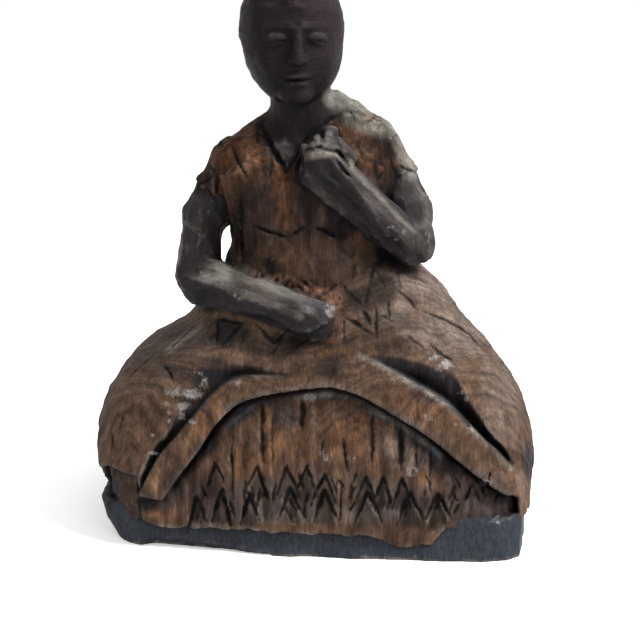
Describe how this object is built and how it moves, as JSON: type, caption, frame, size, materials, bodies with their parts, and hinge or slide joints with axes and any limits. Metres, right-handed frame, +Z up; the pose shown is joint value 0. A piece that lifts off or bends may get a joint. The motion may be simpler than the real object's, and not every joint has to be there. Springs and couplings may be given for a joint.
{
  "type": "carved wooden seated figure",
  "caption": "Carved wooden figure of a seated person in a V-necked shirt and wide skirt, cut with its low base from one block; stands on its flat underside.",
  "frame": {"origin": "middle of the outline, on the surface that the base stands on", "axes": "+Z up; the figure faces -Y; +X is on the viewer's right"},
  "size_m": [0.1534, 0.0994, 0.19],
  "materials": {
    "carved_wood": "hand-carved and brown-stained wood, worn to tan and orange on raised parts; head, neck, arms and base painted dark slate; dusty, with a few pale flecks"
  },
  "bodies": {
    "root": {"figure": "carved_wood"}
  },
  "joints": []
}
